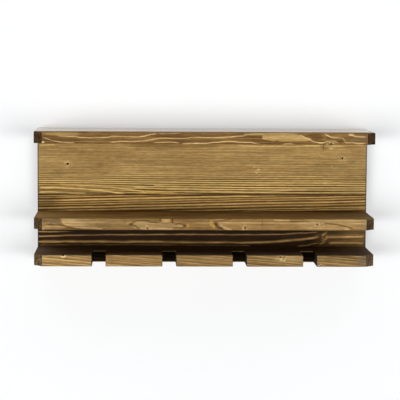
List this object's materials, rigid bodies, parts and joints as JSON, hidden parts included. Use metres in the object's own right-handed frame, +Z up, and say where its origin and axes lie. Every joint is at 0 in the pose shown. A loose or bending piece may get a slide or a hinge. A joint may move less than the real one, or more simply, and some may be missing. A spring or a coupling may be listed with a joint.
{
  "type": "wall-mounted wine rack",
  "caption": "Wall-hung wooden wine rack: a plank back panel, plain shelves with clipped corners, and a slotted lower shelf that holds stemmed glasses by the foot.",
  "frame": {"origin": "on the wall plane, midway between the two keyhole hangers, in the middle of the upper plank's rear face", "axes": "+X to the right seen from the front, +Y into the wall, +Z up"},
  "size_m": [0.6, 0.14, 0.24],
  "materials": {
    "stained_pine": "brown stain under a satin varnish",
    "beech_dowel": "plain",
    "zinc_plated_steel": "zinc plated"
  },
  "bodies": {
    "root": {"back_plank_upper": "stained_pine", "back_plank_lower": "stained_pine", "top_shelf": "stained_pine", "middle_shelf": "stained_pine", "glass_shelf": "stained_pine", "panel_dowel_1": "beech_dowel", "panel_dowel_2": "beech_dowel", "panel_dowel_3": "beech_dowel", "panel_dowel_4": "beech_dowel", "panel_dowel_5": "beech_dowel", "top_shelf_screws": "zinc_plated_steel", "middle_shelf_screws": "zinc_plated_steel", "glass_shelf_screws": "zinc_plated_steel", "hanger_plate_left": "zinc_plated_steel", "hanger_plate_right": "zinc_plated_steel", "hanger_screws_left": "zinc_plated_steel", "hanger_screws_right": "zinc_plated_steel"}
  },
  "joints": []
}
